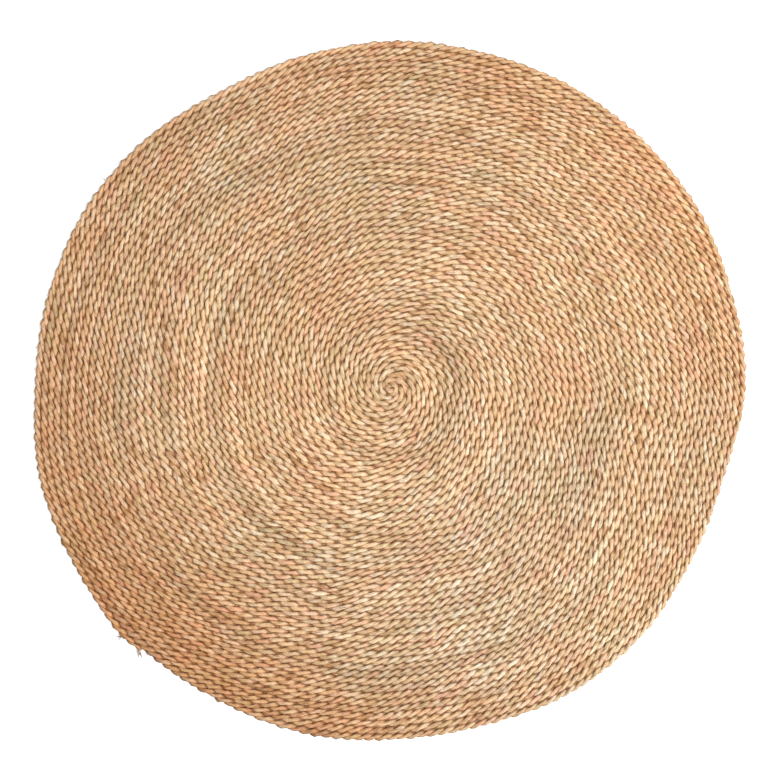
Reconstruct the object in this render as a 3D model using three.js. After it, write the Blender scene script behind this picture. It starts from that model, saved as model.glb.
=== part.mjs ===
import * as THREE from 'three';

// A round floor rug, about 1.2 m across: one long two-ply reed rope, coiled flat from the eye in the
// middle outwards and stitched turn to turn, so the whole rug is one piece.
// Millimetres, +Z up. The underside lies on z = 0, and the origin is on it, in the middle of the
// rug's width and depth. The photograph's right is +X and its top is +Y.

// The coil. Bearings are degrees, anticlockwise from +X. Turns are counted from the eye.
const TURNS = 48.874;
const FIRST_BEARING = 272;
const ROPE_WIDTH = 12.4;
const THINNER_FROM_TURN = 36.7;
const THINNER_ROPE_WIDTH = 11.55;

// The section of the rope as it lies: its height, and how deep the groove between two turns is.
const THICKNESS = 10;
const GROOVE_DEPTH = 4;
const INNER_SHOULDER = 0.27;
const OUTER_SHOULDER = 0.73;
const FOOT_INSET = 1.6;

// The last stretch of rope narrows to its cut end, which lies against the turn inside it.
const TAPER_LENGTH = 45;
const END_WIDTH_SHARE = 0.45;

// How far the rim stands out past an even coil, or stays inside it. Inner turns take a lesser share.
const RIM_SWELLS = [
  { bearing: 0, out: 3 },
  { bearing: 15, out: 2 },
  { bearing: 30, out: 4 },
  { bearing: 45, out: 0 },
  { bearing: 60, out: -4 },
  { bearing: 75, out: -10 },
  { bearing: 90, out: -12 },
  { bearing: 105, out: -18 },
  { bearing: 120, out: -21 },
  { bearing: 135, out: -8 },
  { bearing: 150, out: -1 },
  { bearing: 165, out: 1 },
  { bearing: 180, out: 2 },
  { bearing: 195, out: 13 },
  { bearing: 210, out: 13 },
  { bearing: 225, out: 19 },
  { bearing: 240, out: 14 },
  { bearing: 255, out: 12 },
  { bearing: 270, out: 3 },
  { bearing: 285, out: -1 },
  { bearing: 300, out: 5 },
  { bearing: 315, out: 2 },
  { bearing: 330, out: -9 },
  { bearing: 345, out: -13 },
];

// Each turn is drawn with straight facets that leave the true curve by no more than this.
const FACET_SAG = 1.3;
const FEWEST_FACETS = 12;

const FULL_TURN = 360;

// The swell at any bearing, on a smooth closed curve through the rows.
function swellAt(bearing) {
  const rows = RIM_SWELLS.length;
  const place = THREE.MathUtils.euclideanModulo(bearing, FULL_TURN);
  const row = RIM_SWELLS.findLastIndex((entry) => entry.bearing <= place);
  const rowAt = (index) => {
    const entry = RIM_SWELLS[(index + rows) % rows];
    return { bearing: entry.bearing + FULL_TURN * Math.floor(index / rows), out: entry.out };
  };
  const slopeAt = (index) => {
    const before = rowAt(index - 1);
    const after = rowAt(index + 1);
    return (after.out - before.out) / (after.bearing - before.bearing);
  };
  const from = rowAt(row);
  const to = rowAt(row + 1);
  const span = to.bearing - from.bearing;
  const along = (place - from.bearing) / span;
  const rise = to.out - from.out;
  const leave = slopeAt(row) * span;
  const arrive = slopeAt(row + 1) * span;
  const cubic = leave + arrive - 2 * rise;
  const square = 3 * rise - 2 * leave - arrive;
  return from.out + along * (leave + along * (square + along * cubic));
}

function evenRadius(turn) {
  const thinnerTurns = Math.max(0, turn - THINNER_FROM_TURN);
  return ROPE_WIDTH * turn - (ROPE_WIDTH - THINNER_ROPE_WIDTH) * thinnerTurns;
}

const RIM_RADIUS = evenRadius(TURNS + 1);
const TAPER_TURNS = TAPER_LENGTH / (2 * Math.PI * RIM_RADIUS);

// The rope's inner edge at a turn, which is also the outer edge of the rope one turn before.
function edgeRadius(turn) {
  const even = evenRadius(turn);
  const radius = even + swellAt(FIRST_BEARING + FULL_TURN * turn) * even / RIM_RADIUS;
  const tapered = (turn - (TURNS + 1 - TAPER_TURNS)) / TAPER_TURNS;
  if (tapered <= 0) {
    return radius;
  }
  return THREE.MathUtils.lerp(radius, edgeRadius(turn - 1), tapered * (1 - END_WIDTH_SHARE));
}

function facetsPerTurn(radius) {
  const flattest = Math.max(radius, ROPE_WIDTH);
  return Math.max(FEWEST_FACETS, Math.PI / Math.acos(1 - FACET_SAG / flattest));
}

// The turns at which points are set, from the eye to one turn past the rope's cut end.
function stationTurns() {
  const breaks = [];
  for (let turn = 0; turn < TURNS - TAPER_TURNS; turn += 1) {
    breaks.push(turn);
  }
  breaks.push(TURNS - TAPER_TURNS, TURNS, TURNS + 1 - TAPER_TURNS, TURNS + 1);
  const stations = [0];
  for (let index = 1; index < breaks.length; index += 1) {
    const from = breaks[index - 1];
    const to = breaks[index];
    const steps = Math.ceil((to - from) * facetsPerTurn(edgeRadius(to)));
    for (let step = 1; step <= steps; step += 1) {
      stations.push(THREE.MathUtils.lerp(from, to, step / steps));
    }
  }
  return stations;
}

const positions = [];
const triangles = [];

function addPoint(turn, radius, height) {
  const angle = THREE.MathUtils.degToRad(FIRST_BEARING + FULL_TURN * turn);
  positions.push(radius * Math.cos(angle), radius * Math.sin(angle), height);
  return { turn, index: positions.length / 3 - 1 };
}

function addTriangle(first, second, third) {
  triangles.push(first.index, second.index, third.index);
}

function addFan(corners) {
  for (let corner = 2; corner < corners.length; corner += 1) {
    addTriangle(corners[0], corners[corner - 1], corners[corner]);
  }
}

// Joins two neighbouring lines of points, which need not have the same stations.
function stitchLines(inner, outer) {
  let here = 0;
  let there = 0;
  while (here < inner.length - 1 || there < outer.length - 1) {
    const innerDone = here === inner.length - 1;
    const outerDone = there === outer.length - 1;
    if (innerDone || (!outerDone && outer[there + 1].turn <= inner[here + 1].turn)) {
      addTriangle(inner[here], outer[there], outer[there + 1]);
      there += 1;
    } else {
      addTriangle(inner[here], outer[there], inner[here + 1]);
      here += 1;
    }
  }
}

function shoulderLine(stations, across) {
  return stations.map((turn) => {
    const radius = THREE.MathUtils.lerp(edgeRadius(turn), edgeRadius(turn + 1), across);
    return addPoint(turn, radius, THICKNESS);
  });
}

function buildRugGeometry() {
  const stations = stationTurns();
  const ropeStations = stations.filter((turn) => turn <= TURNS);
  const rimStations = stations.filter((turn) => turn >= TURNS);

  // The groove line winds past the rope's end by one turn, and there it is the rim.
  // The rope starts at the eye with its full height.
  const grooveHeight = THICKNESS - GROOVE_DEPTH;
  const grooves = stations.map((turn) => {
    const height = turn === 0 ? THICKNESS : grooveHeight;
    return addPoint(turn, edgeRadius(turn), height);
  });
  const ropeGroove = grooves.slice(0, ropeStations.length);
  const nextGroove = grooves.filter((point) => point.turn >= 1);
  const outerGroove = nextGroove.map((point) => ({ turn: point.turn - 1, index: point.index }));
  const rim = grooves.slice(ropeStations.length - 1);
  const innerShoulder = shoulderLine(ropeStations, INNER_SHOULDER);
  const outerShoulder = shoulderLine(ropeStations, OUTER_SHOULDER);
  const foot = rimStations.map((turn) => addPoint(turn, edgeRadius(turn) - FOOT_INSET, 0));

  stitchLines(ropeGroove, innerShoulder);
  stitchLines(innerShoulder, outerShoulder);
  stitchLines(outerShoulder, outerGroove);
  stitchLines(rim, foot);

  // The eye: a low button inside the first turn, and the face where the rope starts.
  const firstTurn = grooves.filter((point) => point.turn <= 1);
  addFan(firstTurn);
  addTriangle(grooves[0], nextGroove[0], innerShoulder[0]);
  addTriangle(innerShoulder[0], nextGroove[0], outerShoulder[0]);

  // The rope's cut end.
  addFan([foot[0], rim[0], innerShoulder.at(-1), outerShoulder.at(-1), rim.at(-1), foot.at(-1)]);

  // The flat underside.
  const footOutline = foot.map(({ index }) => {
    const [x, y] = positions.slice(3 * index);
    return new THREE.Vector2(x, y);
  });
  for (const [first, second, third] of THREE.ShapeUtils.triangulateShape(footOutline, [])) {
    addTriangle(foot[first], foot[third], foot[second]);
  }

  const geometry = new THREE.BufferGeometry();
  geometry.setAttribute('position', new THREE.Float32BufferAttribute(positions, 3));
  geometry.setIndex(triangles);
  geometry.computeVertexNormals();
  return geometry;
}

const geometry = buildRugGeometry();
geometry.computeBoundingBox();
const middle = geometry.boundingBox.getCenter(new THREE.Vector3());

const reedRope = new THREE.MeshStandardMaterial({ color: 0xcfa782, roughness: 0.85, metalness: 0 });
const rug = new THREE.Mesh(geometry, reedRope);
rug.name = 'rug';
rug.position.set(-middle.x, -middle.y, 0);

const group = new THREE.Group();
group.add(rug);

export default group;
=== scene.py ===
import math

import bpy
import numpy as np
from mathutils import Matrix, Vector


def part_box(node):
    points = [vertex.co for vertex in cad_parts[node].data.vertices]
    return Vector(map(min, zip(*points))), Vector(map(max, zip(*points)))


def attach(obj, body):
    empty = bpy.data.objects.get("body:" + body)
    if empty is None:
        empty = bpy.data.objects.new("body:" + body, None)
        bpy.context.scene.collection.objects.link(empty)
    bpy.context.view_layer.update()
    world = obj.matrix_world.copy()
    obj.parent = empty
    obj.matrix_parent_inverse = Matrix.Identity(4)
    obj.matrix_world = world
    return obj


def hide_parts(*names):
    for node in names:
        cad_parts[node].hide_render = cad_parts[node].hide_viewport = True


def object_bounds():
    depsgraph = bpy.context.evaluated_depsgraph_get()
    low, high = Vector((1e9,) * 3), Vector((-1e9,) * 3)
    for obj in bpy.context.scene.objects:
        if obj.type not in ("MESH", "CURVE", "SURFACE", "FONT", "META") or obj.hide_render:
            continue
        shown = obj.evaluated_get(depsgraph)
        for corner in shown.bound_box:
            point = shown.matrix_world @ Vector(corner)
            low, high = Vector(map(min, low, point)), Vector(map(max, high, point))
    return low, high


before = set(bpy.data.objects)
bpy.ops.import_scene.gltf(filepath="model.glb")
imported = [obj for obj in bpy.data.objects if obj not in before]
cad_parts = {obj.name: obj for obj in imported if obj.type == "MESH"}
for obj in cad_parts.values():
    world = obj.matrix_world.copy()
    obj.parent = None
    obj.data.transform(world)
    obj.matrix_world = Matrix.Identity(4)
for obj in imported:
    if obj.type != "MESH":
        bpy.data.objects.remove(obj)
cad_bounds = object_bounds()

# The rug: one long two-ply reed rope, coiled flat from the eye outwards and stitched turn to turn.
# Metres, +Z up, and the photograph's right is +X. Bearings are degrees, anticlockwise from +X, and
# turns are counted from the eye.
TURNS = 48.874
FIRST_BEARING = 272
ROPE_WIDTH = 0.0124
THINNER_FROM_TURN = 36.7
THINNER_ROPE_WIDTH = 0.01155
RIM_RADIUS = 0.6
MM = 0.001

# The last stretch of rope narrows to its cut end, and both tips of the rope are rounded off.
TAPER_LENGTH = 0.045
END_WIDTH_SHARE = 0.45
END_LENGTH = 0.006
TIP_SIZE_SHARE = 0.35

# Where the rim stands out past an even coil, in millimetres.
RIM_SWELLS = {
    "bearing": [0, 15, 30, 45, 60, 75, 90, 105, 120, 135, 150, 165,
                180, 195, 210, 225, 240, 255, 270, 285, 300, 315, 330, 345],
    "out": [3, 2, 4, 0, -4, -10, -12, -18, -21, -8, -1, 1,
            2, 13, 13, 19, 14, 12, 3, -1, 5, 2, -9, -13],
}

# The rope lies looser here and tighter there, which shifts the turns outside it: how far apart these
# places are along the rope, and the change as a share of its width. It fades at the eye and at the
# rim over these many turns.
SQUEEZES = {0.16: 0.07, 0.04: 0.045}
SQUEEZE_FADE_AT_EYE = 3
SQUEEZE_FADE_AT_RIM = 0.5

# The inner end is tucked into the eye over this many turns, and the first turns lean to one side
# round it.
TUCK_TURNS = 1
EYE_GAP = 0.0003
EYE_LEAN = 0.0045
EYE_LEAN_BEARING = 217
EYE_LEAN_TURNS = 3

# The twist: two strands, the length of one whole turn of the twist, and how uneven it is, in
# radians and over this length.
LAY = 0.0369
LAY_JITTER = 0.6
LAY_JITTER_LENGTH = 0.06
STEPS_PER_LAY = 11

# The rope's section is two strands side by side, each an ellipse pressed into the other. Sizes are
# shares of the rope's half width, and the angles go from the groove beside a strand over its crest.
# How deep the strands are pressed into each other changes, by at most this many times the jitter.
STRAND_ANGLES = [0, 13, 30, 56, 90, 124, 150, 167]
STRAND_OFFSET = 0.40
STRAND_OFFSET_JITTER = 0.03
STRAND_OFFSET_SPACING = 0.06
STRAND_OFFSET_LIMIT = 2
STRAND_HALF_HEIGHT = 0.60
# A strand is fatter in some places and thinner in others, and each line of reed along it stands out
# or lies deeper.
STRAND_FATNESS_JITTER = 0.11
STRAND_FATNESS_SPACING = 0.035
BLADE_RELIEF = 0.05
BLADE_RELIEF_SPACING = 0.010
# The rope's widest line is nearer the floor than the top.
HEIGHT_BELOW = 0.0037
HEIGHT_ABOVE = 0.0049

# Up to this height, as a share of the upper half, the rope is pressed against its neighbours, so
# that the turns close up. A strand's crest is pressed higher up than the groove beside it, and the
# border between two turns gives way to the one that bulges there.
PRESSED_TO_AT_CREST = 0.45
PRESSED_TO_AT_GROOVE = -0.1
PRESSED_TOP_FADE = 0.25
PRESSED_BOTTOM_FADE = 0.2
PRESSED_SQUARENESS = 0.8
BORDER_GIVE = 0.0004
# How far a pressed flank reaches, as a share of the rope's half width. It is more below the rope's
# widest line, and more again in the turns round the eye, so that no floor shows between the turns.
PRESSED_REACH = 1.05
PRESSED_REACH_BELOW = 1.07
BELOW_FADE = 0.4
EYE_REACH = 0.22
EYE_REACH_TO_TURN = 4.8
EYE_REACH_FADE_TURNS = 4
# The outer side of the last turn has no neighbour, so it is free.
FREE_SIDE_FADE = 0.2
FREE_SIDE_FADE_TURNS = 0.01

# The reed's colours. Along each strand the straw turns pale, pink, olive or brown in places, and so
# do single lines of reed in it. A colour's share changes by strand and by line, from none to its most.
STRAW = np.array([0.785, 0.525, 0.295])
REED_TONES = {
    "colour": [(0.880, 0.690, 0.480), (0.820, 0.475, 0.300), (0.720, 0.545, 0.300), (0.500, 0.260, 0.110)],
    "share": [0.25, -0.1, -0.3, -0.4],
    "by_strand": [0.4, 0.5, 0.5, 0.4],
    "by_line": [0.35, 0, 0, -0.35],
    "most": [1, 0.8, 0.7, 0.8],
    "spacing": [0.018, 0.018, 0.02, 0.018],
    "seed": [31, 33, 35, 37],
}
LINE_TONE_SPACING = 0.014
# Whole stretches of rope are lighter or darker: how far apart, and by how much.
STREAKS = {0.12: 0.045, 0.5: 0.035}
BRIGHTEST = 0.95

# Painted shade: deep in the grooves, where shade falls, the reed's colour is painted browner and darker.
# The height is a share of the rope's half height, and the angles are degrees off the groove between the
# two strands.
GROOVE_PAINTED_SHADE = np.array([0.29, 0.13, 0.015])
SHADED_TO_HEIGHT = 0.07
LIT_FROM_HEIGHT = 0.54
CREST_ANGLE = 50
CREST_LIGHT = 0.4
PIT_ANGLE = 25
PIT_LIGHT = 0.6

# The rug's broad tone. Towards the rim the reed is browner, most of all at the lower left. Where it
# is browner the brown starts further in, and the last turn's outer side, turned away from the light, gets
# painted shade.
RIM_BROWNS = {
    "bearing": [0, 30, 60, 90, 120, 150, 180, 210, 240, 270, 300, 330],
    "share": [0.1, 0.4, 0.4, 0.4, 0.3, 0.4, 0.6, 0.9, 1.0, 0.5, 0.0, 0.0],
}
BROWNING = np.array([0.14, 0.31, 0.43])
BROWN_FROM_RADIUS = 0.52
BROWN_FURTHER_IN = 0.22
OUTER_SIDE_FROM = 0.2
OUTER_SIDE_FADE = 0.6
OUTER_SIDE_PAINTED_SHADE = 0.55
# A few broad patches are lighter, darker or paler than the rest: the change in each colour.
TONE_PATCHES = {
    "bearing": [305, 30, 215, 120, 318],
    "radius": [0.38, 0.50, 0.10, 0.40, 0.57],
    "size": [0.20, 0.20, 0.16, 0.20, 0.13],
    "red": [0.00, 0.10, 0.09, -0.03, 0.10],
    "green": [0.08, 0.07, 0.06, -0.03, 0.08],
    "blue": [0.18, 0.04, 0.02, -0.03, 0.05],
}
# Painted light: the side towards the soft light is painted a little brighter. Small soft patches differ in
# brightness and in hue.
PAINTED_LIGHT_BEARING = 10
PAINTED_LIGHT_SIDE = 0.07
MOTTLE = 0.012
MOTTLE_LENGTH = 0.05
HUE_CHANGE = np.array([0.007, -0.011, -0.016])
HUE_LENGTH = 0.11
WAVES_PER_PATTERN = 24
WAVE_LENGTHS = (1.2, 3)

# A loose fibre is a thin three-sided blade: its height, its steps, and its width at each step as a
# share of its full width.
FIBRE_DEPTH = 0.0004
FIBRE_STEPS = 4
FIBRE_TAPER = (0.5, 1.0, 0.9, 0.6, 0.12)
FIBRE_DROOP = 0.3

# Slivers of reed that have come a little way out of the strands, all over the top. They turn round
# the rope by so many degrees a step, with this spread, and their tips are lifted.
SLIVERS = {
    "count": 2600,
    "facing": (40, 110),
    "turning": (9, 6),
    "lift": 0.0004,
    "most_lift": 0.0015,
    "clearance": 0.0001,
    "width": 0.0013,
    "width_share": (0.5, 1.2),
    "shade": (0.55, 1.3),
}

# Hairs that stand out from the rim, the frayed ends of the two strands, and the longest stray
# blades. A heading of 0 goes on along the rope, and one of 90 straight away from the rug.
RIM_HAIRS = {
    "count": 60,
    "heading": (25, 155),
    "length": (0.003, 0.008),
    "facing": (-20, 40),
    "width": 0.0006,
    "tone": (0.62, 0.45, 0.30),
    "shade": (0.5, 1.2),
}
FRAYED_ENDS = {
    "bearing": [226.3, 222.9],
    "fibres": [9, 6],
    "heading": [30, 112],
    "spread": [12, 25],
    "length": [0.017, 0.010],
}
FRAYED_FIBRE = {
    "bearing": (-0.8, 0.5),
    "length_share": (0.5, 1.1),
    "facing": (-20, 60),
    "width": 0.0011,
    "tone": (0.36, 0.29, 0.22),
    "shade": (0.6, 1.5),
}
STRAY_BLADES = {
    "bearing": [143.8, 173.5, 177.0],
    "heading": [87, 70, 105],
    "length": [0.0125, 0.0065, 0.0055],
}
STRAY_BLADE = {"facing": 10.0, "width": 0.0013, "tone": (0.72, 0.55, 0.44)}

SEEDS = {
    "squeeze": 11,
    "twist": 21,
    "strand_offset": 22,
    "strand_fatness": 23,
    "blade_relief": 41,
    "mottle": 51,
    "hue": 53,
    "streaks": 61,
    "line_tone": 71,
    "slivers": 81,
    "rim_hairs": 82,
    "frayed_ends": 83,
}

PIECES = ("coil_eye", "coil_inner", "coil_middle", "coil_outer", "coil_rim")
STEPS_PER_TURN = 2880
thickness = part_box("rug")[1][2]


def noise_along(length, spacing, seed):
    """A smooth random line of unit spread, as a function of the distance along the rope."""
    knots = int(length / spacing) + 4
    values = np.random.default_rng(seed).normal(size=knots)
    blended_spread = 0.66

    def at(distance):
        place = np.clip(distance / spacing, 0, knots - 3.001) + 1
        row = place.astype(int)
        part = place - row
        before, here, after, last = (values[row + step] for step in (-1, 0, 1, 2))
        weights = (
            (1 - part) ** 3 / 6,
            (3 * part**3 - 6 * part**2 + 4) / 6,
            (-3 * part**3 + 3 * part**2 + 3 * part + 1) / 6,
            part**3 / 6,
        )
        blend = sum(w * v for w, v in zip(weights, (before, here, after, last)))
        return blend / blended_spread

    return at


def round_the_rug(bearings, values, bearing):
    """A value at any bearing, on a smooth closed curve through the rows of a table."""
    bearings = np.array(bearings, float)
    values = np.array(values, float)
    bearings = np.concatenate([bearings[-2:] - 360, bearings, bearings[:3] + 360])
    values = np.concatenate([values[-2:], values, values[:3]])
    slopes = np.zeros(len(values))
    slopes[1:-1] = (values[2:] - values[:-2]) / (bearings[2:] - bearings[:-2])
    place = np.mod(bearing, 360)
    row = np.searchsorted(bearings, place, side="right") - 1
    span = bearings[row + 1] - bearings[row]
    part = (place - bearings[row]) / span
    rise = values[row + 1] - values[row]
    leave = slopes[row] * span
    arrive = slopes[row + 1] * span
    square = 3 * rise - 2 * leave - arrive
    cubic = leave + arrive - 2 * rise
    return values[row] + part * (leave + part * (square + part * cubic))


def smooth_step(value):
    value = np.clip(value, 0, 1)
    return value * value * (3 - 2 * value)


def swell_at(bearing):
    """How far the rim stands out at a bearing."""
    return MM * round_the_rug(RIM_SWELLS["bearing"], RIM_SWELLS["out"], bearing)


def even_radius(turn):
    """The inner edge of the rope at a turn, in an even round coil."""
    thinner_turns = np.maximum(0, turn - THINNER_FROM_TURN)
    return ROPE_WIDTH * turn - (ROPE_WIDTH - THINNER_ROPE_WIDTH) * thinner_turns


def planned_radius(turn):
    """The inner edge of the rope at a turn, as the rug's outline asks."""
    even = even_radius(turn)
    bearing = FIRST_BEARING + 360 * turn
    lean = EYE_LEAN * smooth_step(1 - turn / EYE_LEAN_TURNS)
    return (
        even
        + swell_at(bearing) * even / even_radius(TURNS + 1)
        + lean * np.cos(np.radians(bearing - EYE_LEAN_BEARING))
    )


class Coil:
    """The rope's edges and its length along the coil, on an even grid of turns."""

    def __init__(self):
        whole = math.ceil(TURNS) + 2
        self.turn = np.arange(whole * STEPS_PER_TURN + 1) / STEPS_PER_TURN
        self.last = int(TURNS * STEPS_PER_TURN)
        planned = planned_radius(self.turn)
        edge = planned + self.wander(planned, whole)
        self.edge = self.tapered(edge)
        self.make_centre()
        jitter = noise_along(self.length[-1], LAY_JITTER_LENGTH, SEEDS["twist"])(self.length)
        twist = 2 * math.pi * self.length / LAY + LAY_JITTER * jitter
        self.twist = np.maximum.accumulate(twist)
        self.give_way()
        self.make_centre()

    def wander(self, planned, whole):
        """The sum of the squeezes of all turns inside, brought back to nothing at the rim."""
        rough_length = np.cumsum(2 * math.pi * planned) / STEPS_PER_TURN
        squeeze = sum(
            size * noise_along(rough_length[-1], spacing, seed)(rough_length)
            for seed, (spacing, size) in enumerate(SQUEEZES.items(), start=SEEDS["squeeze"])
        )
        fade_at_rim = smooth_step((TURNS - self.turn) / SQUEEZE_FADE_AT_RIM)
        fade_at_eye = smooth_step(self.turn / SQUEEZE_FADE_AT_EYE)
        squeeze *= fade_at_rim * fade_at_eye
        width = planned[STEPS_PER_TURN:] - planned[:-STEPS_PER_TURN]
        change = (width * squeeze[:-STEPS_PER_TURN])[: (whole - 1) * STEPS_PER_TURN]
        total = np.zeros((whole, STEPS_PER_TURN))
        total[1:] = np.cumsum(change.reshape(whole - 1, STEPS_PER_TURN), axis=0)
        total = np.append(total.ravel(), total[-1, -1])
        column = np.arange(len(total)) % STEPS_PER_TURN
        rim_turn = self.last + np.mod(column - self.last, STEPS_PER_TURN)
        at_rim = total[np.minimum(rim_turn, len(total) - 1)]
        return total - at_rim * self.turn / self.turn[rim_turn]

    def tapered(self, edge):
        """The rim draws in beside the last stretch of rope."""
        taper_turns = TAPER_LENGTH / (2 * math.pi * even_radius(TURNS + 1))
        part = smooth_step((self.turn - (TURNS + 1 - taper_turns)) / taper_turns) * (1 - END_WIDTH_SHARE)
        inner = np.concatenate([edge[:STEPS_PER_TURN], edge[:-STEPS_PER_TURN]])
        return edge + (inner - edge) * part

    def make_centre(self):
        """The rope's own line, from the tucked end in the eye to the cut end at the rim."""
        count = self.last + 1
        tuck = np.arange(-int(TUCK_TURNS * STEPS_PER_TURN), 0) / STEPS_PER_TURN
        tuck_inner = np.full(len(tuck), EYE_GAP)
        tuck_outer = self.edge[STEPS_PER_TURN - len(tuck) : STEPS_PER_TURN]
        self.rope_turn = np.concatenate([tuck, self.turn[:count]])
        self.rope_inner = np.concatenate([tuck_inner, np.maximum(self.edge[:count], EYE_GAP)])
        self.rope_outer = np.concatenate([tuck_outer, self.edge[STEPS_PER_TURN : STEPS_PER_TURN + count]])
        radius = (self.rope_inner + self.rope_outer) / 2
        angle = 2 * math.pi * self.rope_turn
        step = np.hypot(np.diff(radius), (radius[1:] + radius[:-1]) / 2 * np.diff(angle))
        self.length = np.concatenate([[0], np.cumsum(step)])

    def give_way(self):
        """The strands lie side by side twice a twist, and there the rope is at its widest."""
        count = self.last + 1
        give = -BORDER_GIVE * np.cos(2 * self.twist[-count:])
        self.edge[STEPS_PER_TURN : STEPS_PER_TURN + count] += give
        self.edge[:count] -= give

    def middle_of_rug(self):
        """The middle of the rim's box, from the eye."""
        rim = slice(self.last, self.last + STEPS_PER_TURN)
        angle = np.radians(FIRST_BEARING + 360 * self.turn[rim])
        x = self.edge[rim] * np.cos(angle)
        y = self.edge[rim] * np.sin(angle)
        return (x.max() + x.min()) / 2, (y.max() + y.min()) / 2


coil = Coil()
eye_x, eye_y = (-value for value in coil.middle_of_rug())
rope_length = coil.length[-1]


class Rope:
    """Rings of points around the rope, set so that the lines between them follow the twist."""

    def __init__(self):
        rings = int((coil.twist[-1] - coil.twist[0]) / (2 * math.pi) * STEPS_PER_LAY)
        self.twist = coil.twist[0] + np.arange(rings + 1) * (2 * math.pi / STEPS_PER_LAY)
        self.distance = np.interp(self.twist, coil.twist, coil.length)
        self.turn = np.interp(self.distance, coil.length, coil.rope_turn)
        self.inner = np.interp(self.distance, coil.length, coil.rope_inner)
        self.outer = np.interp(self.distance, coil.length, coil.rope_outer)
        self.make_section()

    def make_section(self):
        """How far each point lies across and up from the rope's line."""
        angles = np.array(STRAND_ANGLES, float)
        self.around = np.concatenate([angles, angles + 180])
        self.strand = np.repeat([0, 1], len(angles))
        self.facing = np.radians(self.around) + self.twist[:, None]
        up = np.sin(self.facing)
        across = np.cos(self.facing)
        crest = np.abs(np.sin(np.radians(self.around)))
        fatness = self.lines(STRAND_FATNESS_SPACING, SEEDS["strand_fatness"], 2)[:, self.strand]
        relief = self.lines(BLADE_RELIEF_SPACING, SEEDS["blade_relief"], len(self.around))
        uneven = 1 + fatness * crest * STRAND_FATNESS_JITTER + relief * BLADE_RELIEF
        free = self.two_strands() * uneven
        pressed = self.pressed(up, crest)
        size = free + (self.pressed_reach(up) - free) * pressed
        self.across = size * np.sign(across) * np.abs(across) ** (1 - PRESSED_SQUARENESS * pressed)
        self.up = size * up

    def pressed(self, up, crest):
        """How far each point is pressed against a neighbouring turn, which the rim has none of outside."""
        limit = PRESSED_TO_AT_GROOVE + (PRESSED_TO_AT_CREST - PRESSED_TO_AT_GROOVE) * crest
        flank = smooth_step((limit - up) / PRESSED_TOP_FADE) * smooth_step((up + 1) / PRESSED_BOTTOM_FADE)
        last_turn = smooth_step((self.turn[:, None] - (TURNS - 1)) / FREE_SIDE_FADE_TURNS)
        outside = smooth_step(np.cos(self.facing) / FREE_SIDE_FADE)
        return flank * (1 - last_turn * outside)

    def pressed_reach(self, up):
        """How far the rope reaches where it is pressed."""
        below = (PRESSED_REACH_BELOW - PRESSED_REACH) * smooth_step(-up / BELOW_FADE)
        at_eye = EYE_REACH * smooth_step((EYE_REACH_TO_TURN - self.turn) / EYE_REACH_FADE_TURNS)
        return PRESSED_REACH + below + at_eye[:, None]

    def lines(self, spacing, seed, count):
        """Smooth random lines along the rope, with a value at every ring."""
        made = [noise_along(rope_length, spacing, seed + line)(self.distance) for line in range(count)]
        return np.stack(made, axis=1)

    def two_strands(self):
        """How far the section reaches at each angle."""
        change = self.lines(STRAND_OFFSET_SPACING, SEEDS["strand_offset"], 1)
        change = change.clip(-STRAND_OFFSET_LIMIT, STRAND_OFFSET_LIMIT)
        offset = STRAND_OFFSET + STRAND_OFFSET_JITTER * change
        along = np.abs(np.sin(np.radians(self.around)))
        side = np.cos(np.radians(self.around))
        half_width = 1 - offset
        square = (along / half_width) ** 2 + (side / STRAND_HALF_HEIGHT) ** 2
        linear = offset * along / half_width**2
        rest = (offset / half_width) ** 2 - 1
        return (linear + np.sqrt(linear**2 - square * rest)) / square

    def points(self):
        """The points of every ring, in the rug's place."""
        tucked_end = rounded_end(self.distance)[:, None]
        cut_end = rounded_end(rope_length - self.distance)[:, None]
        ends = np.minimum(tucked_end, cut_end)
        half_width = (self.outer - self.inner)[:, None] / 2
        middle = self.inner[:, None] + half_width * cut_end
        radius = middle + half_width * self.across * ends
        radius = np.maximum(radius, EYE_GAP)
        angle = np.radians(FIRST_BEARING + 360 * self.turn)[:, None]
        x = eye_x + radius * np.cos(angle)
        y = eye_y + radius * np.sin(angle)
        z = HEIGHT_BELOW + height_from_middle(self.up) * ends
        return np.stack([x, y, np.maximum(z, 0)], axis=-1)


def height_from_middle(up):
    return up * np.where(up > 0, HEIGHT_ABOVE, HEIGHT_BELOW)


def rounded_end(distance):
    """The share of its full size that the rope has this far from its tip."""
    part = np.clip(distance / END_LENGTH, 0, 1)
    return TIP_SIZE_SHARE + (1 - TIP_SIZE_SHARE) * np.sqrt(1 - (1 - part) ** 2)


rope = Rope()
rope_points = rope.points()
SIDES = len(rope.around)


def mix(first, second, share):
    return first + (second - first) * share[..., None]


def strand_tones_and_painted_shade():
    """The colour of each point: dry reed from pale straw to brown, changing along each strand, with
    painted shade in the grooves.
    """
    colour = np.broadcast_to(STRAW, rope.across.shape + (3,))
    lines = rope.lines(LINE_TONE_SPACING, SEEDS["line_tone"], SIDES)
    for tone, share, by_strand, by_line, most, spacing, seed in zip(*REED_TONES.values()):
        strands = rope.lines(spacing, seed, 2)[:, rope.strand]
        share = share + by_strand * strands + by_line * lines
        colour = mix(colour, np.array(tone), share.clip(0, most))
    streaks = 1 + sum(
        size * noise_along(rope_length, spacing, seed)(rope.distance)
        for seed, (spacing, size) in enumerate(STREAKS.items(), start=SEEDS["streaks"])
    )
    # The reed's colour, times painted shade in the grooves.
    return colour * streaks[:, None, None] * mix(GROOVE_PAINTED_SHADE, np.ones(3), open_to_light())


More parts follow.
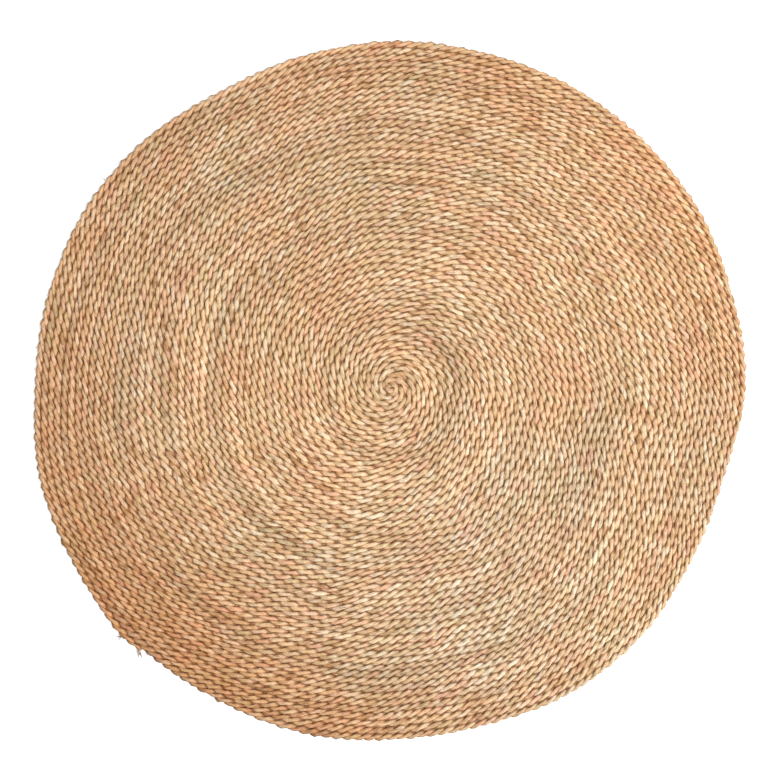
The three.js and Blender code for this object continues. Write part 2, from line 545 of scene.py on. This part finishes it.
def open_to_light():
    """How far each point lies out of the painted groove shade: the painted shade is darkest in the pits
    between the strands.
    """
    off_groove = np.minimum(np.mod(rope.around, 180), 180 - np.mod(rope.around, 180))
    height = (np.abs(rope.up) - SHADED_TO_HEIGHT) / (LIT_FROM_HEIGHT - SHADED_TO_HEIGHT)
    out_of_groove = smooth_step(height + CREST_LIGHT * smooth_step(off_groove / CREST_ANGLE))
    out_of_pit = PIT_LIGHT + (1 - PIT_LIGHT) * smooth_step(off_groove / PIT_ANGLE)
    return out_of_groove * out_of_pit


def patches(x, y, length, seed):
    """Soft uneven patches of unit spread and about this length."""
    random = np.random.default_rng(seed)
    total = 0
    for _ in range(WAVES_PER_PATTERN):
        heading, phase = random.uniform(0, 2 * math.pi, 2)
        wave = 2 * math.pi / (length * random.uniform(*WAVE_LENGTHS))
        total = total + np.cos(wave * (x * math.cos(heading) + y * math.sin(heading)) + phase)
    return total / math.sqrt(WAVES_PER_PATTERN / 2)


def place_tones_and_painted_shading():
    """The rug's broad tone at each point, with painted shade on the last turn's outer side and painted
    light on one side.
    """
    x = rope_points[..., 0]
    y = rope_points[..., 1]
    bearing = np.degrees(np.arctan2(y, x))
    share = round_the_rug(RIM_BROWNS["bearing"], RIM_BROWNS["share"], bearing).clip(0, 1)
    tint = 1 - rim_brown(np.hypot(x, y), share)[..., None] * BROWNING
    for at_bearing, at_radius, size, *colour in zip(*TONE_PATCHES.values()):
        off_x = x - at_radius * math.cos(math.radians(at_bearing))
        off_y = y - at_radius * math.sin(math.radians(at_bearing))
        nearness = np.exp(-(off_x**2 + off_y**2) / (2 * size**2))
        tint = tint * (1 + nearness[..., None] * np.array(colour))
    hue = patches(x, y, HUE_LENGTH, SEEDS["hue"])
    tint = tint * (1 + hue[..., None] * HUE_CHANGE)
    # Painted shade on the outer side of the last turn, strongest where the rim is browner.
    last_turn = rope.turn[:, None] > TURNS - 1
    shaded_outer_side = smooth_step((rope.across - OUTER_SIDE_FROM) / OUTER_SIDE_FADE) * last_turn
    tint = tint * (1 - OUTER_SIDE_PAINTED_SHADE * (shaded_outer_side * share)[..., None])
    return tint * painted_light_and_mottle(x, y)[..., None]


def rim_brown(radius, share):
    """How brown the reed is at a distance from the middle, where the rim has this share of brown."""
    start = BROWN_FROM_RADIUS - BROWN_FURTHER_IN * share
    return share * smooth_step((radius - start) / (RIM_RADIUS - start))


def painted_light_and_mottle(x, y):
    # Painted light, brighter towards the soft light's side, times soft random mottle.
    light_side = math.radians(PAINTED_LIGHT_BEARING)
    towards_light = (x * math.cos(light_side) + y * math.sin(light_side)) / RIM_RADIUS
    return 1 + PAINTED_LIGHT_SIDE * towards_light + MOTTLE * patches(x, y, MOTTLE_LENGTH, SEEDS["mottle"])


# The reed's colours, with the painted shade and painted light multiplied in.
tones_and_painted_shading = (strand_tones_and_painted_shade() * place_tones_and_painted_shading()).clip(0, BRIGHTEST)

# The reed's skin: fine fibres and a coarser grain, both drawn out along the rope, with the number
# of features in a metre along it, across it and up it. A noise's middle values fill its shades.
FIBRE_FINENESS = (60, 1500, 1500)
FIBRE_SHADES = (0.72, 1.16)
FIBRE_BUMP = {"Strength": 0.6, "Distance": 0.0006}
GRAIN_FINENESS = (150, 450, 450)
GRAIN_SHADES = (0.76, 1.2)
MIDDLE_VALUES = (0.3, 0.7)
ALL_VALUES = (0, 1)
ROUGHNESS = (0.62, 0.9)
SHEEN = 0.02


def node(tree, kind, inputs=None, **settings):
    made = tree.nodes.new(kind)
    for name, value in settings.items():
        setattr(made, name, value)
    for name, value in (inputs or {}).items():
        made.inputs[name].default_value = value
    return made


def drawn_out_noise(tree, place, fineness, detail):
    """A noise that follows the rope."""
    stretch = node(tree, "ShaderNodeMapping", {"Scale": fineness})
    noise = node(tree, "ShaderNodeTexNoise", {"Scale": 1.0, "Detail": detail, "Roughness": 0.6})
    tree.links.new(place, stretch.inputs["Vector"])
    tree.links.new(stretch.outputs["Vector"], noise.inputs["Vector"])
    return noise.outputs["Fac"]


def brought_into(tree, noise, values, results):
    """A noise whose values from low to high are brought into another range."""
    limits = {"From Min": values[0], "From Max": values[1], "To Min": results[0], "To Max": results[1]}
    made = node(tree, "ShaderNodeMapRange", limits)
    tree.links.new(noise, made.inputs["Value"])
    return made.outputs["Result"]


def make_reed_material():
    material = bpy.data.materials.new("reed_rope")
    material.use_nodes = True
    tree = material.node_tree
    shader = tree.nodes["Principled BSDF"]
    shader.inputs["Specular IOR Level"].default_value = SHEEN
    tone = node(tree, "ShaderNodeAttribute", attribute_name="reed_tone_and_painted_shading")
    place = node(tree, "ShaderNodeAttribute", attribute_name="on_rope").outputs["Vector"]
    fibres = drawn_out_noise(tree, place, FIBRE_FINENESS, 3.0)
    grain = drawn_out_noise(tree, place, GRAIN_FINENESS, 2.0)
    shade = node(tree, "ShaderNodeMath", operation="MULTIPLY")
    colour = node(tree, "ShaderNodeVectorMath", operation="MULTIPLY")
    bump = node(tree, "ShaderNodeBump", FIBRE_BUMP)
    links = tree.links
    links.new(brought_into(tree, fibres, MIDDLE_VALUES, FIBRE_SHADES), shade.inputs[0])
    links.new(brought_into(tree, grain, MIDDLE_VALUES, GRAIN_SHADES), shade.inputs[1])
    links.new(tone.outputs["Color"], colour.inputs[0])
    links.new(shade.outputs["Value"], colour.inputs[1])
    links.new(colour.outputs["Vector"], shader.inputs["Base Color"])
    links.new(fibres, bump.inputs["Height"])
    links.new(bump.outputs["Normal"], shader.inputs["Normal"])
    links.new(brought_into(tree, fibres, ALL_VALUES, ROUGHNESS), shader.inputs["Roughness"])
    return material


reed_material = make_reed_material()


def add_piece(name, points, faces, tone, place):
    """A smooth mesh piece of the rug, with the reed's colour including its painted shade and light, and
    the place that its fibres follow.
    """
    mesh = bpy.data.meshes.new(name)
    corners = np.concatenate([rows.ravel() for rows in faces])
    sizes = np.concatenate([np.full(len(rows), rows.shape[1]) for rows in faces])
    starts = np.cumsum(sizes) - sizes
    mesh.vertices.add(len(points))
    mesh.vertices.foreach_set("co", points.ravel().astype(np.float32))
    mesh.loops.add(len(corners))
    mesh.loops.foreach_set("vertex_index", corners.astype(np.int32))
    mesh.polygons.add(len(starts))
    mesh.polygons.foreach_set("loop_start", starts.astype(np.int32))
    mesh.update(calc_edges=True)
    mesh.polygons.foreach_set("use_smooth", np.ones(len(starts), bool))
    colour = np.ones((len(points), 4), np.float32)
    colour[:, :3] = tone
    mesh.attributes.new("reed_tone_and_painted_shading", "FLOAT_COLOR", "POINT").data.foreach_set("color", colour.ravel())
    place = place.astype(np.float32).ravel()
    mesh.attributes.new("on_rope", "FLOAT_VECTOR", "POINT").data.foreach_set("vector", place)
    mesh.materials.append(reed_material)
    piece = bpy.data.objects.new(name, mesh)
    bpy.context.collection.objects.link(piece)
    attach(piece, "root")
    return piece


def make_coil_piece(name, first, last):
    """One closed stretch of the rope, from ring first to ring last."""
    rings = np.arange(first, last + 1)
    steps = last - first
    ring, side = np.meshgrid(np.arange(steps), np.arange(SIDES), indexing="ij")
    after = (side + 1) % SIDES
    quads = np.stack(
        [ring * SIDES + side, (ring + 1) * SIDES + side, (ring + 1) * SIDES + after, ring * SIDES + after],
        axis=-1,
    ).reshape(-1, 4)
    start_cap = np.arange(SIDES)[None]
    end_cap = steps * SIDES + start_cap[:, ::-1]
    place = on_rope(rings).reshape(-1, 3)
    faces = [quads, start_cap, end_cap]
    piece = add_piece(name, rope_points[rings].reshape(-1, 3), faces, tones_and_painted_shading[rings].reshape(-1, 3), place)
    add_bake_map(piece.data, steps)
    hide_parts("rug")
    return piece


def on_rope(rings):
    """Distances along the rope, across it and up it."""
    along = np.broadcast_to(rope.distance[rings][:, None], (len(rings), SIDES))
    across = rope.across[rings] * ROPE_WIDTH / 2
    up = height_from_middle(rope.up[rings])
    return np.stack([along, across, up], axis=-1)


# The rope's flat picture: the girth that its strips have room for, the free share of a strip at
# each edge, and the size of a cap in that free share.
ROPE_GIRTH = 0.037
STRIP_MARGIN = 0.06
CAP_MIDDLE = 0.5
CAP_RADIUS = 0.4


def add_bake_map(mesh, steps):
    """The rope's skin cut into even strips, one above the other."""
    strips = max(1, round(math.sqrt(steps * LAY / STEPS_PER_LAY / ROPE_GIRTH)))
    per_strip = math.ceil(steps / strips)
    room = 1 - 2 * STRIP_MARGIN
    ring, side = np.meshgrid(np.arange(steps), np.arange(SIDES), indexing="ij")
    strip = ring // per_strip
    left = (ring % per_strip) / per_strip
    right = left + 1 / per_strip
    low = (strip + STRIP_MARGIN + room * side / SIDES) / strips
    high = (strip + STRIP_MARGIN + room * (side + 1) / SIDES) / strips
    quads = np.stack([left, low, right, low, right, high, left, high], axis=-1).reshape(-1)
    cap = np.zeros(SIDES * 2)
    turn = np.arange(SIDES) * 2 * math.pi / SIDES
    cap[0::2] = (CAP_MIDDLE + CAP_RADIUS * np.cos(turn)) * STRIP_MARGIN / strips
    cap[1::2] = (CAP_MIDDLE + CAP_RADIUS * np.sin(turn)) * STRIP_MARGIN / strips
    layer = mesh.uv_layers.new(name="OFBake")
    layer.data.foreach_set("uv", np.concatenate([quads, cap, cap]).astype(np.float32))


def make_rug():
    """The whole rope, in closed pieces with as many rings each."""
    total = len(rope.distance) - 1
    cuts = [round(total * share / len(PIECES)) for share in range(len(PIECES) + 1)]
    for name, first, last in zip(PIECES, cuts, cuts[1:]):
        piece = make_coil_piece(name, first, last)


def unit(vectors):
    return vectors / np.linalg.norm(vectors, axis=-1, keepdims=True)


def on_skin(ring, facing):
    """The point of the rope's skin at a ring that faces a direction, the way out of the rope there,
    and the side that the point is on."""
    around = np.mod(np.degrees(facing - rope.twist[ring]), 360)
    before = np.searchsorted(rope.around, around, side="right") - 1
    after = (before + 1) % SIDES
    part = (around - rope.around[before]) / np.mod(rope.around[after] - rope.around[before], 360)
    low = rope_points[ring, before]
    high = rope_points[ring, after]
    point = low + (high - low) * part[..., None]
    return point, unit(point - rope_points[ring].mean(axis=-2)), before


def make_slivers():
    """Paths that lie along the skin, a little more along the rope than the strands do."""
    random = np.random.default_rng(SEEDS["slivers"])
    count = SLIVERS["count"]
    steps = np.arange(FIBRE_STEPS + 1)
    start = random.integers(0, len(rope.distance) - FIBRE_STEPS - 1, count)
    facing = random.uniform(*SLIVERS["facing"], count)[:, None]
    facing = facing + random.normal(*SLIVERS["turning"], count)[:, None] * steps
    point, out, side = on_skin(start[:, None] + steps, np.radians(facing))
    lift = random.exponential(SLIVERS["lift"], count).clip(0, SLIVERS["most_lift"])
    height = lift[:, None] * (steps / FIBRE_STEPS) ** 2 + SLIVERS["clearance"]
    path = point + out * height[..., None]
    width = SLIVERS["width"] * random.uniform(*SLIVERS["width_share"], count)
    tone = tones_and_painted_shading[start, side[:, 0]] * random.uniform(*SLIVERS["shade"], count)[:, None]
    return path, out, width, tone


def last_turn_rings(bearing):
    """The rings of the outermost turn that lie at these bearings."""
    before_end = np.mod(FIRST_BEARING + 360 * TURNS - bearing, 360) / 360
    return np.searchsorted(rope.turn, TURNS - before_end).clip(0, len(rope.turn) - 1)


def stand_out(bearing, heading, length, facing):
    """Paths that leave the rim at a bearing and a heading, and droop towards the floor."""
    point, _, _ = on_skin(last_turn_rings(bearing), np.radians(facing))
    bearing = np.radians(bearing)
    outward = np.stack([np.cos(bearing), np.sin(bearing), 0 * bearing], axis=-1)
    along = np.stack([-np.sin(bearing), np.cos(bearing), 0 * bearing], axis=-1)
    heading = np.radians(heading)[:, None]
    way = along * np.cos(heading) + outward * np.sin(heading)
    steps = np.arange(FIBRE_STEPS + 1) / FIBRE_STEPS
    path = point[:, None] + way[:, None] * length[:, None, None] * steps[:, None]
    path[..., 2] -= FIBRE_DROOP * length[:, None] * steps**2
    path[..., 2] = path[..., 2].clip(FIBRE_DEPTH, None)
    upright = np.broadcast_to(np.array([0.0, 0.0, 1.0]), path.shape)
    return path, upright


def make_rim_hairs():
    random = np.random.default_rng(SEEDS["rim_hairs"])
    count = RIM_HAIRS["count"]
    bearing = random.uniform(0, 360, count)
    heading = random.uniform(*RIM_HAIRS["heading"], count)
    length = random.uniform(*RIM_HAIRS["length"], count)
    facing = random.uniform(*RIM_HAIRS["facing"], count)
    path, out = stand_out(bearing, heading, length, facing)
    tone = np.array(RIM_HAIRS["tone"]) * random.uniform(*RIM_HAIRS["shade"], (count, 1))
    return path, out, np.full(count, RIM_HAIRS["width"]), tone


def make_frayed_ends():
    random = np.random.default_rng(SEEDS["frayed_ends"])
    made = []
    for bearing, fibres, heading, spread, length in zip(*FRAYED_ENDS.values()):
        bearings = bearing + random.uniform(*FRAYED_FIBRE["bearing"], fibres)
        headings = random.normal(heading, spread, fibres)
        lengths = length * random.uniform(*FRAYED_FIBRE["length_share"], fibres)
        facing = random.uniform(*FRAYED_FIBRE["facing"], fibres)
        path, out = stand_out(bearings, headings, lengths, facing)
        tone = np.array(FRAYED_FIBRE["tone"]) * random.uniform(*FRAYED_FIBRE["shade"], (fibres, 1))
        made.append((path, out, np.full(fibres, FRAYED_FIBRE["width"]), tone))
    return [np.concatenate(parts) for parts in zip(*made)]


def make_stray_blades():
    bearing, heading, length = (np.array(column, float) for column in STRAY_BLADES.values())
    blades = len(bearing)
    path, out = stand_out(bearing, heading, length, np.full(blades, STRAY_BLADE["facing"]))
    tone = np.tile(STRAY_BLADE["tone"], (blades, 1))
    return path, out, np.full(blades, STRAY_BLADE["width"]), tone


def make_loose_fibres():
    """All the loose fibres in one piece, each a thin three-sided blade that tapers to its tip."""
    groups = (make_slivers(), make_rim_hairs(), make_frayed_ends(), make_stray_blades())
    path, out, width, tone = (np.concatenate(parts) for parts in zip(*groups))
    along = unit(np.gradient(path, axis=1))
    right = unit(np.cross(along, out))
    taper = np.array(FIBRE_TAPER)[None, :, None]
    half = right * taper * width[:, None, None] / 2
    points = np.stack([path - half, path + out * taper * FIBRE_DEPTH, path + half], axis=2)
    points[..., 2] = points[..., 2].clip(0, None)
    fibres, rings = path.shape[:2]
    first = (np.arange(fibres) * rings * 3)[:, None, None] + (np.arange(rings - 1) * 3)[:, None]
    corner = np.arange(3)
    after = (corner + 1) % 3
    quads = np.stack([first + corner, first + after, first + 3 + after, first + 3 + corner], axis=-1)
    root = (np.arange(fibres) * rings * 3)[:, None]
    tip = root + (rings - 1) * 3
    faces = [quads.reshape(-1, 4), root + np.array([2, 1, 0]), tip + np.array([0, 1, 2])]
    colour = np.repeat(tone.clip(0, BRIGHTEST), rings * 3, axis=0)
    flat_points = points.reshape(-1, 3)
    piece = add_piece("loose_fibres", flat_points, faces, colour, flat_points)
    add_fibre_bake_map(piece.data, fibres, rings)


CELL_EDGE = 0.1
CELL_ROOM = 0.8


def add_fibre_bake_map(mesh, fibres, rings):
    """Each fibre in a cell of its own, its sides one above the other."""
    cells = math.ceil(math.sqrt(fibres))
    cell_x = (np.arange(fibres) % cells)[:, None, None]
    cell_y = (np.arange(fibres) // cells)[:, None, None]
    step = np.arange(rings - 1)[:, None]
    side = np.arange(3)
    left = cell_x + CELL_EDGE + CELL_ROOM * step / (rings - 1) + 0 * side
    right = left + CELL_ROOM / (rings - 1)
    low = cell_y + CELL_EDGE + CELL_ROOM * side / 3 + 0 * left
    high = low + CELL_ROOM / 3
    quads = np.stack([left, low, left, high, right, high, right, low], axis=-1).reshape(-1)
    corner = np.zeros((fibres, 3, 2))
    corner[..., 0] = cell_x[:, :, 0] + CELL_EDGE / 2 * np.array([0, 1, 0]) + CELL_EDGE / 4
    corner[..., 1] = cell_y[:, :, 0] + CELL_EDGE / 2 * np.array([0, 0, 1]) + CELL_EDGE / 4
    layer = mesh.uv_layers.new(name="OFBake")
    values = np.concatenate([quads, corner.ravel(), corner.ravel()]) / cells
    layer.data.foreach_set("uv", values.astype(np.float32))


make_rug()
make_loose_fibres()

# The studio: a wide pale floor just under the rug, even light from all round, and a large soft
# light from above on the right.
FLOOR_SIZE = 40
FLOOR_DROP = 0.0002
FLOOR_LOOK = {
    "Base Color": (0.93, 0.93, 0.93, 1),
    "Roughness": 0.9,
    "Emission Color": (1, 1, 1, 1),
    "Emission Strength": 0.2,
}
EVEN_LIGHT = {"Color": (1, 1, 1, 1), "Strength": 0.57}
SOFT_LIGHT_PLACE = (1.2, -0.35, 2.0)
SOFT_LIGHT_ENERGY = 2.63
SOFT_LIGHT_ANGLE = 30


def make_floor():
    bpy.ops.mesh.primitive_plane_add(size=FLOOR_SIZE, location=(0, 0, -FLOOR_DROP))
    floor = bpy.context.object
    floor.name = "floor"
    material = bpy.data.materials.new("pale_floor")
    material.use_nodes = True
    shader = material.node_tree.nodes["Principled BSDF"]
    for name, value in FLOOR_LOOK.items():
        shader.inputs[name].default_value = value
    floor.data.materials.append(material)


def make_lights():
    world = bpy.context.scene.world or bpy.data.worlds.new("studio")
    bpy.context.scene.world = world
    world.use_nodes = True
    for name, value in EVEN_LIGHT.items():
        world.node_tree.nodes["Background"].inputs[name].default_value = value
    lamp = bpy.data.lights.new("soft_box", "SUN")
    lamp.angle = math.radians(SOFT_LIGHT_ANGLE)
    lamp.energy = SOFT_LIGHT_ENERGY
    lamp_object = bpy.data.objects.new("soft_box", lamp)
    lamp_object.location = SOFT_LIGHT_PLACE
    bpy.context.collection.objects.link(lamp_object)
    towards_rug = -Vector(SOFT_LIGHT_PLACE)
    lamp_object.rotation_euler = towards_rug.to_track_quat("-Z", "Y").to_euler()


# The rug's width in the photograph, in pixels, and the share of its thickness at which the camera
# matches it.
PHOTO_WIDTH = 780
RUG_WIDTH_IN_PHOTO = 712
CAMERA_HEIGHT = 4.0
CAMERA_SENSOR_WIDTH = 36
MATCHED_LEVEL = 0.6


def make_camera():
    """Straight above the rug, with the photograph's top towards +Y."""
    camera = bpy.data.cameras.new("camera")
    camera.sensor_fit = "HORIZONTAL"
    camera.sensor_width = CAMERA_SENSOR_WIDTH
    low, high = cad_bounds
    view_width = (high[0] - low[0]) * PHOTO_WIDTH / RUG_WIDTH_IN_PHOTO
    camera.lens = camera.sensor_width * (CAMERA_HEIGHT - thickness * MATCHED_LEVEL) / view_width
    camera_object = bpy.data.objects.new("camera", camera)
    camera_object.location = (0, 0, CAMERA_HEIGHT)
    bpy.context.collection.objects.link(camera_object)
    bpy.context.scene.camera = camera_object


make_floor()
make_lights()
make_camera()
bpy.context.scene.view_settings.view_transform = "Standard"
